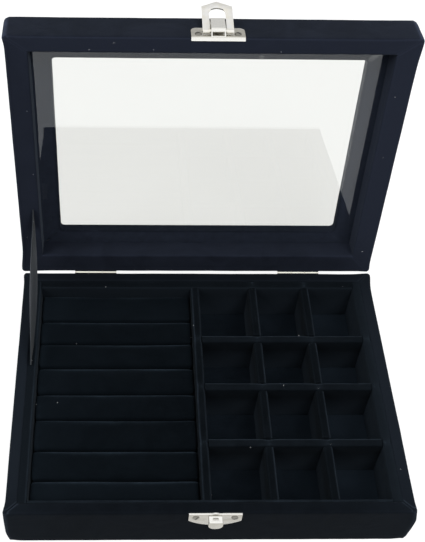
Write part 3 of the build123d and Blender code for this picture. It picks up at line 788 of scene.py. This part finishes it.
def geometry_tree(name, sizes):
    """A geometry tree with one named input for each size, and all its inputs as Values."""
    group = bpy.data.node_groups.new(name, "GeometryNodeTree")
    group.interface.new_socket("Geometry", in_out="INPUT", socket_type="NodeSocketGeometry")
    for label, value in sizes.items():
        made = group.interface.new_socket(label, in_out="INPUT",
                                          socket_type=SOCKET_KINDS[type(value)])
        made.default_value = value
    group.interface.new_socket("Geometry", in_out="OUTPUT", socket_type="NodeSocketGeometry")
    tree = Tree(group)
    entry = group.nodes.new("NodeGroupInput")
    return tree, {socket.name: Value(tree, socket) for socket in entry.outputs if socket.name}


def close_tree(tree, geometry, material):
    """Ends a geometry tree with plain geometry in one material."""
    solid = tree.node("GeometryNodeRealizeInstances", {"Geometry": geometry})
    solid = tree.node("GeometryNodeSetMaterial", {"Geometry": solid, "Material": material})
    tree.node("NodeGroupOutput", {"Geometry": solid})
    return tree.group


def grown(name, group, sizes, start=None):
    """A plain mesh object made by a geometry tree with these sizes."""
    mesh = bpy.data.meshes.new(name)
    if start is not None:
        mesh.from_pydata([tuple(p) for p in start], [], [])
    obj = bpy.data.objects.new(name, mesh)
    bpy.context.scene.collection.objects.link(obj)
    modifier = obj.modifiers.new(name, "NODES")
    modifier.node_group = group
    for item in group.interface.items_tree:
        if item.in_out == "INPUT" and item.name in sizes:
            modifier[item.identifier] = sizes[item.name]
    return baked(obj)


def roll_tree():
    """A ring roll's blank: an arch on squared shoulders, swept from end to end and closed."""
    tree, size = geometry_tree("roll_blank", {
        "Length": 85.0 * MM, "Half Width": 8.3 * MM, "Shoulder": 7.0 * MM})
    line = tree.node("GeometryNodeCurvePrimitiveLine", {"End": tree.vector(size["Length"])})
    line = tree.node("GeometryNodeResampleCurve", {"Curve": line, "Count": 54})
    ring = tree.node("GeometryNodeCurvePrimitiveCircle", {
        "Resolution": 36, "Radius": size["Half Width"]})
    x, y, _ = tree.parts(tree.node("GeometryNodeInputPosition"))
    down = tree.math("MAXIMUM", 0 - y, 0)
    side, below = x / size["Half Width"], down / size["Half Width"]
    corner = (1 - (1 - tree.math("ABSOLUTE", side)) ** 2) * tree.math("SIGN", side)
    squared = tree.math("GREATER_THAN", below, 0.001)
    new_x = x * (1 - squared) + corner * size["Half Width"] * squared
    new_y = y + down - tree.math("MINIMUM", below * 2.4, 1) * size["Shoulder"]
    ring = tree.node("GeometryNodeSetPosition", {
        "Geometry": ring, "Position": tree.vector(new_x, new_y)})
    swept = tree.node("GeometryNodeCurveToMesh", {
        "Curve": line, "Profile Curve": ring, "Fill Caps": True})
    return close_tree(tree, swept, ROLL_VELVET)


def screw_tree():
    """Round-head slotted screws, one on each point, facing along Z."""
    tree, size = geometry_tree("slotted_screws", {
        "Head Radius": 1.72 * MM, "Head Height": 0.68 * MM, "Slot Width": 0.5 * MM,
        "Slot Turn": 0.4, "Shank Radius": 0.72 * MM, "Shank Length": 4.0 * MM, "Seed": 1})
    ball = tree.node("GeometryNodeMeshUVSphere", {
        "Segments": 28, "Rings": 16, "Radius": size["Head Radius"]})
    flat = tree.vector(1.0, 1.0, size["Head Height"] / size["Head Radius"])
    dome = tree.node("GeometryNodeTransform", {"Geometry": ball, "Scale": flat})
    block = 10 * MM
    trim = tree.node("GeometryNodeMeshCube", {"Size": (block, block, block)})
    trim = tree.node("GeometryNodeTransform", {
        "Geometry": trim, "Translation": (0, 0, -block / 2)})
    slot = tree.node("GeometryNodeMeshCube", {"Size": tree.vector(
        size["Head Radius"] * 4, size["Slot Width"], size["Head Height"] * 1.1)})
    slot = tree.node("GeometryNodeTransform", {
        "Geometry": slot, "Translation": tree.vector(z=size["Head Height"])})
    cutters = tree.node("GeometryNodeJoinGeometry", {"Geometry": [trim, slot]})
    head = tree.node("GeometryNodeMeshBoolean", {"Mesh 1": dome, "Mesh 2": cutters},
                     operation="DIFFERENCE")
    shank = tree.node("GeometryNodeMeshCylinder", {
        "Vertices": 16, "Radius": size["Shank Radius"], "Depth": size["Shank Length"]})
    shank = tree.node("GeometryNodeTransform", {
        "Geometry": shank, "Translation": tree.vector(z=size["Shank Length"] * -0.5)})
    screw = tree.node("GeometryNodeJoinGeometry", {"Geometry": [head, shank]})
    turn = tree.chance(-1.2, 1.2, size["Seed"])
    placed = tree.node("GeometryNodeInstanceOnPoints", {
        "Points": size["Geometry"], "Instance": screw,
        "Rotation": tree.vector(z=turn + size["Slot Turn"])})
    return close_tree(tree, placed, SCREW_NICKEL)


def lint_tree():
    """Short curled fibres of mixed lengths, one on each point, lying nearly flat."""
    tree, size = geometry_tree("lint_fibres", {
        "Length": 0.9 * MM, "Thickness": 0.07 * MM, "Seed": 4})
    hair = tree.node("GeometryNodeCurveQuadraticBezier", {
        "Resolution": 5, "Start": tree.vector(size["Length"] * -0.5),
        "Middle": tree.vector(0.0, size["Length"] * 0.28, size["Length"] * 0.12),
        "End": tree.vector(size["Length"] * 0.5)})
    section = tree.node("GeometryNodeCurvePrimitiveCircle", {
        "Resolution": 5, "Radius": size["Thickness"]})
    hair = tree.node("GeometryNodeCurveToMesh", {
        "Curve": hair, "Profile Curve": section, "Fill Caps": True})
    turn = tree.node("FunctionNodeRandomValue", {
        0: (-0.25, -0.25, 0.0), 1: (0.25, 0.25, 6.28), "Seed": size["Seed"]},
        data_type="FLOAT_VECTOR")
    grow = tree.chance(0.5, 1.0, size["Seed"])
    placed = tree.node("GeometryNodeInstanceOnPoints", {
        "Points": size["Geometry"], "Instance": hair, "Rotation": turn, "Scale": grow})
    return close_tree(tree, placed, LINT)


# ---- ring rolls ------------------------------------------------------------------------------
# The rolls are numbered from the rear, and the lines between them are uneven by a few shifts,
# in millimetres from even spacing.
ROLL_COUNT = 8
ROLL_EDGE_SHIFTS = (0.0, -1.6, -0.6, 0.2, -0.3, 0.2, -1.2, -1.5, 0.0)
PRESS_FRAMES = 20


def plump(obj, voxel, pressure, cap, held_below):
    """Velvet over foam: the blank is pressed outwards as cloth, held where it is glued down.

    It is first remeshed at the voxel size, and no point moves further than cap.
    """
    work = obj.modifiers.new("voxels", "REMESH")
    work.mode, work.voxel_size = "VOXEL", voxel
    baked(obj)
    start = np.array([v.co for v in obj.data.vertices])
    glued = obj.vertex_groups.new(name="glued")
    glued.add([i for i, p in enumerate(start) if p[2] < held_below], 1.0, "REPLACE")
    cloth = obj.modifiers.new("cloth", "CLOTH")
    for setting, value in {
            "quality": 6, "mass": 0.15, "tension_stiffness": 18,
            "compression_stiffness": 18, "bending_stiffness": 0.35, "use_pressure": True,
            "uniform_pressure_force": pressure, "vertex_group_mass": "glued"}.items():
        setattr(cloth.settings, setting, value)
    cloth.settings.effector_weights.gravity = 0
    cloth.point_cache.frame_start, cloth.point_cache.frame_end = 1, PRESS_FRAMES
    scene = bpy.context.scene
    for frame_number in range(1, PRESS_FRAMES + 1):
        scene.frame_set(frame_number)
    baked(obj)
    scene.frame_set(1)
    moved = np.array([v.co for v in obj.data.vertices])
    if len(moved) == len(start):
        shift = moved - start
        far = np.linalg.norm(shift, axis=1, keepdims=True)
        moved = start + shift * np.minimum(1, cap / np.maximum(far, 1e-9))
        obj.data.vertices.foreach_set("co", moved.ravel())
    obj.vertex_groups.clear()
    return obj


def ring_rolls():
    """Each roll is fitted between its own front and back line after it has been pressed out."""
    gap, clearance, over_end = 0.2 * MM, 0.12 * MM, 0.25 * MM
    blank_tree = roll_tree()
    low_box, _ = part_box(f"ring_roll_{ROLL_COUNT}")
    _, high_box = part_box("ring_roll_1")
    bottom, crown = low_box.z, high_box.z
    tray_low, tray_high = low_box.y - gap, high_box.y + gap
    pitch = (tray_high - tray_low) / ROLL_COUNT
    lines = [tray_high - k * pitch + shift * MM for k, shift in enumerate(ROLL_EDGE_SHIFTS)]
    for k in range(ROLL_COUNT):
        back, front = lines[k] - clearance, lines[k + 1] + clearance
        half = (back - front) / 2
        obj = grown(f"ring_roll_{k + 1}_velvet", blank_tree, {
            "Length": high_box.x - low_box.x, "Half Width": half * 0.965,
            "Shoulder": (crown - bottom) - half})
        obj.data.transform(Matrix.Translation((low_box.x, (back + front) / 2, crown - half)))
        tidy(obj)
        plump(obj, voxel=1.7 * MM, pressure=3.5, cap=1.4 * MM, held_below=bottom + 1.2 * MM)
        fit_roll(obj, front, back, bottom, crown, low_box.x - over_end, high_box.x + over_end,
                 70 + k)
        stands_for(obj, "base", "velvet_rolls", f"ring_roll_{k + 1}")


def fit_roll(obj, front, back, bottom, crown, low_x, high_x, seed):
    """Puts the pressed roll exactly into its place, with slack creases along its length."""
    co = np.array([v.co for v in obj.data.vertices])
    low, high = co.min(0), co.max(0)
    target_low = np.array((low_x, front, bottom))
    target_high = np.array((high_x, back, crown))
    co = target_low + (co - low) / (high - low) * (target_high - target_low)
    middle, half = (front + back) / 2, (back - front) / 2
    pucker = 3 * MM
    for p in co:
        along = p[0]
        up = ramp(p[2], bottom, crown)
        lean = abs((p[1] - middle) / half)
        slack = (swells((along, middle, 0), (0.30, 24, seed))
                 + swells((along, middle, p[2]), (0.16, 75, seed + 1)))
        p[1] += slack * lean ** 0.5 * (0.3 + 0.7 * up) * (1 - 0.2 * lean)
        p[2] += up * (swells((along, p[1], 0), (0.32, 30, seed + 2), (0.12, 120, seed + 3))
                      - 0.15 * MM)
        drawn = bell(min(along - low_x, high_x - along), pucker)
        p[2] -= 0.25 * MM * drawn * up * (1 + wave((0, p[1] * 3, p[2] * 2), 160, seed + 4))
    obj.data.vertices.foreach_set("co", co.ravel())
    smooth = obj.modifiers.new("soften", "SUBSURF")
    smooth.levels = smooth.render_levels = 1
    baked(obj)
    obj.data.shade_smooth()

    # Painted highlights: a pale line along each roll's rear shoulder, where velvet catches light at
    # grazing view, and lifts at the ends against the shade there. Painted light: the rear and front
    # rolls and the left end paler.
    shoulder, spread, sides_end = math.radians(40), math.radians(16), bottom + 6 * MM
    rear_pair, front_pair, reach, by_wall = 57 * MM, -60 * MM, 17 * MM, 15 * MM
    rear_share = 0.22 * max(0.0, 1 - abs(middle - rear_pair) / reach)
    front_share = 0.30 * max(0.0, 1 - abs(middle - front_pair) / reach)
    painted_highlights, painted_lights = [], []
    for vertex in obj.data.vertices:
        x, z = vertex.co.x, vertex.co.z
        tilt = math.atan2(vertex.normal.y, vertex.normal.z)
        paling = 0.75 + 0.6 * wave((x, middle, 0), 55, seed + 6)
        painted_highlights.append(min(1.0, 1.5 * paling * bell(tilt - shoulder, spread) * (z > sides_end)
                         + 0.10 * bell(min(x - low_x, high_x - x), pucker)
                         + 0.30 * bell(x - low_x, 4 * MM)))
        painted_lights.append(min(1.0, rear_share + front_share
                        + 0.75 * math.exp(-max(0.0, x - low_x) / by_wall)))
    point_values(obj.data, "fold", painted_highlights)
    point_values(obj.data, "lay", painted_lights)
    return obj


# ---- ribbon stay -----------------------------------------------------------------------------
RIBBON_WIDTH, RIBBON_THICKNESS = 10 * MM, 0.4 * MM
RIBBON_X = -92.6 * MM
RIBBON_BASE, RIBBON_LID = (14.3 * MM, 30.0 * MM), (81.57 * MM, 71.38 * MM)


def ribbon_stay():
    """A taut woven ribbon, its face turned up a little between its two ends."""
    start = Vector((RIBBON_X, *RIBBON_BASE))
    end = Vector((RIBBON_X, *RIBBON_LID))
    along = (end - start).normalized()
    across = Vector((0, -along.z, along.y))
    length = (end - start).length
    tuck, bow, cupped, turned_up = 2.8 * MM, 0.35 * MM, 0.25 * MM, math.radians(18)
    rows, cols = 110, 12
    points, uvs = [], []
    for r in range(rows + 1):
        s = -tuck + (length + 2 * tuck) * r / rows
        free = math.sin(math.pi * ramp(s, 0, length))
        twist = turned_up * free ** 1.5
        twist *= 1 + 0.12 * wave((s, 0, 0), 60, 5)
        wide = across * math.cos(twist) + Vector((-1, 0, 0)) * math.sin(twist)
        face = along.cross(wide)
        centre = start + along * s + Vector((bow * free, 0, 0))
        for c in range(cols + 1):
            u = c / cols - 0.5
            points.append(centre + wide * (u * RIBBON_WIDTH) + face * (
                cupped * (4 * u * u) * free))
            uvs.append((u * RIBBON_WIDTH, s))
    obj = mesh_object("ribbon_stay_woven", points, woven(rows + 1, cols + 1), RIBBON)
    layer = obj.data.uv_layers.new(name="weave")
    for loop in obj.data.loops:
        layer.data[loop.index].uv = uvs[loop.vertex_index]
    cloth = obj.modifiers.new("cloth", "SOLIDIFY")
    cloth.thickness, cloth.offset = RIBBON_THICKNESS, 0
    baked(obj)
    obj.data.shade_smooth()
    obj.data.set_sharp_from_angle(angle=math.radians(60))
    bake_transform(obj)
    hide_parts("ribbon_stay")
    return obj


# ---- metalwork -------------------------------------------------------------------------------
def softened_metal(node, body, width, material=NICKEL, glint_facing=Vector((0, 0, 0)), glint_above=1.0):
    """A solid's own shape with its sheared edges rounded over by width.

    A painted highlight lies on the side that faces along one direction, and above a height.
    """
    same_place = 2e-6
    flat, sheared, kept_sharp = math.radians(1), math.radians(28), math.radians(50)
    obj = cad_nodes[node].copy()
    obj.data = cad_nodes[node].data.copy()
    for key in list(obj.keys()):
        del obj[key]
    obj.name = node + "_plated"
    obj.parent = None
    bpy.context.scene.collection.objects.link(obj)
    obj.data.materials.clear()
    obj.data.materials.append(material)
    work = bmesh.new()
    work.from_mesh(obj.data)
    bmesh.ops.remove_doubles(work, verts=work.verts, dist=same_place)
    bmesh.ops.dissolve_limit(work, angle_limit=flat, verts=work.verts, edges=work.edges)
    work.to_mesh(obj.data)
    work.free()
    obj.data.shade_smooth()
    bevel = obj.modifiers.new("edges", "BEVEL")
    bevel.width, bevel.segments = width, 2
    bevel.limit_method, bevel.angle_limit = "ANGLE", sheared
    bevel.harden_normals = False
    baked(obj)
    obj.data.set_sharp_from_angle(angle=kept_sharp)
    # Painted highlight: bright where the faces look one way, and above a height.
    point_values(obj.data, "polish", [
        min(1.0, max(0.85 * (vertex.co.z > glint_above), (vertex.normal.dot(glint_facing) - 0.5) * 4))
        for vertex in obj.data.vertices])
    return stands_for(obj, body, "nickel", node)


def metalwork():
    """The hinges' leaves and pins and the clasp's three pieces."""
    upwards, forwards = Vector((0, 0, 1)), Vector((0, -1, 0.2))
    strap_top = 182.2 * MM
    for side in ("left", "right"):
        softened_metal(f"hinge_{side}_base_leaf", "base", 0.1 * MM, HIGHLIGHT_NICKEL)
        softened_metal(f"hinge_{side}_lid_leaf", "lid", 0.1 * MM, HIGHLIGHT_NICKEL)
        softened_metal(f"hinge_{side}_pin", "base", 0.12 * MM, HIGHLIGHT_NICKEL)
    softened_metal("catch_plate", "base", 0.16 * MM, CATCH_NICKEL, upwards)
    softened_metal("hasp_plate", "lid", 0.12 * MM, NICKEL, forwards, strap_top)
    softened_metal("clasp_flap", "clasp_flap", 0.16 * MM, FLAP_NICKEL)


def screw_set(cad, body, seats, facing, tree, seed):
    """Screws on seats in metres, turned to face along a direction."""
    turn = Vector((0, 0, 1)).rotation_difference(Vector(facing)).to_matrix().to_4x4()
    flat = [turn.inverted() @ Vector(seat) for seat in seats]
    obj = grown(cad + "_slotted", tree, {"Seed": seed}, flat)
    obj.data.transform(turn)
    if body == "lid":
        swing_open(obj)
    tidy(obj, 35)
    return stands_for(obj, body, "nickel", cad)


def screws():
    """Two screws in each hinge leaf and in each plate of the clasp, heads on their faces."""
    leaf_y, catch_y, hasp_y = 76.2 * MM, -76.6 * MM, -76.3 * MM
    clasp_x, catch_z, hasp_z, from_pin = 2 * MM, 26.4 * MM, 33.65 * MM, 6.5 * MM
    hinge_x = [middle + side * 7.5 * MM for middle in (-59 * MM, 59 * MM) for side in (-1, 1)]
    base_leaves = [(x, leaf_y, PIN_Z - from_pin) for x in hinge_x]
    lid_leaves = [(x, leaf_y, PIN_Z + from_pin) for x in hinge_x]
    catch = [(clasp_x + side * 9.5 * MM, catch_y, catch_z) for side in (-1, 1)]
    hasp = [(clasp_x + side * 9.6 * MM, hasp_y, hasp_z) for side in (-1, 1)]
    rear, front, tree = (0, 1, 0), (0, -1, 0), screw_tree()
    screw_set("base_hinge_screws", "base", base_leaves, rear, tree, 3)
    screw_set("lid_hinge_screws", "lid", lid_leaves, rear, tree, 5)
    screw_set("catch_screws", "base", catch, front, tree, 7)
    screw_set("hasp_screws", "lid", hasp, front, tree, 9)


# ---- plain solids that keep their shape ------------------------------------------------------
def plain_solids():
    """Finishes for the solids that stand as they are."""
    finishes = {"glass_pane": GLASS, "base_bottom_sheet": PAPER, "roll_bed": LINING,
                "base_floor_board": BOARD, "lid_window_frame": BOARD}
    for part, board in (("base", "wall"), ("lid", "wall"), ("lid", "strip")):
        for side in ("front", "rear", "left", "right"):
            finishes[f"{part}_{side}_{board}"] = BOARD
    for name, material in finishes.items():
        mesh = cad_nodes[name].data
        mesh.materials.clear()
        mesh.materials.append(material)


# ---- lint ------------------------------------------------------------------------------------
# Where fibres lie on the velvet of the base, in millimetres.
BASE_LINT = ((-77.8, -8.4, 22.8), (84.0, 66.0, 30.1), (42.6, -2.0, 29.6), (21.9, -39.5, 29.5),
             (-53.2, 65.6, 29.6), (96.2, -52.5, 30.2), (-88.2, -14.0, 29.8), (-69.0, 30.2, 22.8),
             (-3.7, 38.0, 29.6), (54.5, 31.1, 29.6), (3.0, -52.9, 4.5), (-4.6, 35.2, 22.0),
             (-92.3, 14.0, 30.2), (-92.7, 17.0, 30.2), (61.2, -3.9, 29.6), (63.0, -37.9, 29.6))


def lint():
    """A few white fibres caught on the pile. The lid's are laid on its rim, shut, by chance."""
    tree, rim = lint_tree(), 30.5 * MM
    seats = [tuple(v * MM for v in seat) for seat in BASE_LINT]
    stands_for(tidy(grown("base_lint", tree, {"Seed": 4}, seats)), "base", "velvet_cover")
    chance = np.random.default_rng(12)
    lid_seats = [(chance.uniform(-96, 96) * MM, -chance.uniform(68, 73) * MM, rim)
                 for _ in range(4)]
    lid_seats += [(side * chance.uniform(91, 98) * MM, chance.uniform(-70, 70) * MM, rim)
                  for side in (-1, 1) for _ in range(3)]
    lid_lint = swing_open(tidy(grown("lid_lint", tree, {"Seed": 6}, lid_seats)))
    stands_for(lid_lint, "lid", "velvet_cover")


# ---- stage -----------------------------------------------------------------------------------
def white_seen(f, lit, seen):
    """One value for light that falls, another for what the camera, metal and glass see."""
    path = f.node("ShaderNodeLightPath")
    by_camera, by_metal, by_glass = (
        path.output(f"Is {way} Ray") for way in ("Camera", "Glossy", "Transmission"))
    return lit + (by_camera + by_metal + by_glass).between(0, 1) * (seen - lit)


def stage():
    """A white floor and a white room, which metal mirrors a little dimmer low down behind."""
    reach, below = 6.0, 0.2 * MM
    corners = [(-reach, -reach), (reach, -reach), (reach, reach), (-reach, reach)]
    f = Finish("floor_white")
    plain = f.node("ShaderNodeBsdfDiffuse", {"Color": (0.2, 0.2, 0.2, 1)})
    glow = f.node("ShaderNodeEmission", {
        "Color": (1, 1, 1, 1), "Strength": white_seen(f, 0.0, 0.87)})
    both = f.node("ShaderNodeAddShader", {0: plain, 1: glow})
    f.node("ShaderNodeOutputMaterial", {"Surface": both})
    floor = mesh_object("floor", [(x, y, -below) for x, y in corners], [(0, 1, 2, 3)], f.material)

    world = bpy.data.worlds.new("white_room")
    bpy.context.scene.world = world
    world.use_nodes = True
    room = Tree(world.node_tree)
    room.group.nodes.clear()
    _, behind, up = room.parts(room.node("ShaderNodeTexCoord", out="Generated"))
    glossy = room.node("ShaderNodeLightPath", out="Is Glossy Ray")
    dim = glossy * behind.between(0.1, 0.4) * up.between(0.86, 0.62) * 0.34
    sky = room.node("ShaderNodeBackground", {
        "Color": (1, 1, 1, 1), "Strength": white_seen(room, 0.55, 1.0) - dim})
    room.node("ShaderNodeOutputWorld", {"Surface": sky})

    lamp("key_softbox", (0.35, -0.55, 0.95), (0.0, 0.03, 0.06), 0.55, 8.0)
    lamp("fill_softbox", (-0.75, -0.25, 0.75), (0.0, 0.03, 0.06), 0.5, 6.0)
    lamp("back_softbox", (0.1, 0.9, 0.85), (0.0, 0.05, 0.1), 0.6, 3.0)


def lamp(name, place, target, size, power):
    """A square softbox at a place, turned to a target, that neither camera nor metal sees."""
    light = bpy.data.lights.new(name, "AREA")
    light.shape, light.size, light.energy = "SQUARE", size, power
    obj = bpy.data.objects.new(name, light)
    obj.location = place
    obj.rotation_euler = (Vector(target) - Vector(place)).to_track_quat("-Z", "Y").to_euler()
    obj.visible_camera = obj.visible_glossy = False
    bpy.context.scene.collection.objects.link(obj)


def camera():
    """The view over the front edge: 50.4 degrees down, 2.4 to the right, rolled 2 degrees.

    Lengths in the picture are in pixels. The view's axis meets it off its centre.
    """
    picture_width, picture_height, focal_length = 425, 542, 966.82
    axis_across, axis_down = 148.38, 281.23
    data = bpy.data.cameras.new("view")
    data.sensor_fit = "HORIZONTAL"
    data.sensor_width = 36
    data.lens = data.sensor_width * focal_length / picture_width
    data.shift_x = (picture_width / 2 - axis_across) / picture_width
    data.shift_y = (axis_down - picture_height / 2) / picture_width
    data.clip_start, data.clip_end = 0.01, 50
    pitch, yaw, roll = math.radians(50.40), math.radians(2.393), math.radians(-1.991)
    ahead = Vector((math.sin(yaw) * math.cos(pitch), math.cos(yaw) * math.cos(pitch),
                    -math.sin(pitch)))
    right = Vector((math.cos(yaw), -math.sin(yaw), 0))
    down = ahead.cross(right)
    turned_right = right * math.cos(roll) + down * math.sin(roll)
    turned_down = down * math.cos(roll) - right * math.sin(roll)
    rotation = Matrix((turned_right, -turned_down, -ahead)).transposed().to_4x4()
    obj = bpy.data.objects.new("view", data)
    obj.matrix_world = Matrix.Translation((-0.04339, -0.28683, 0.46124)) @ rotation
    bpy.context.scene.collection.objects.link(obj)
    bpy.context.scene.camera = obj


# ---- the box ---------------------------------------------------------------------------------
bpy.context.scene.view_settings.view_transform = "Standard"
plain_solids()
base_cover()
lid_cover()
tray_boards()
floor_velvet()
ring_rolls()
ribbon_stay()
metalwork()
screws()
lint()
stage()
camera()
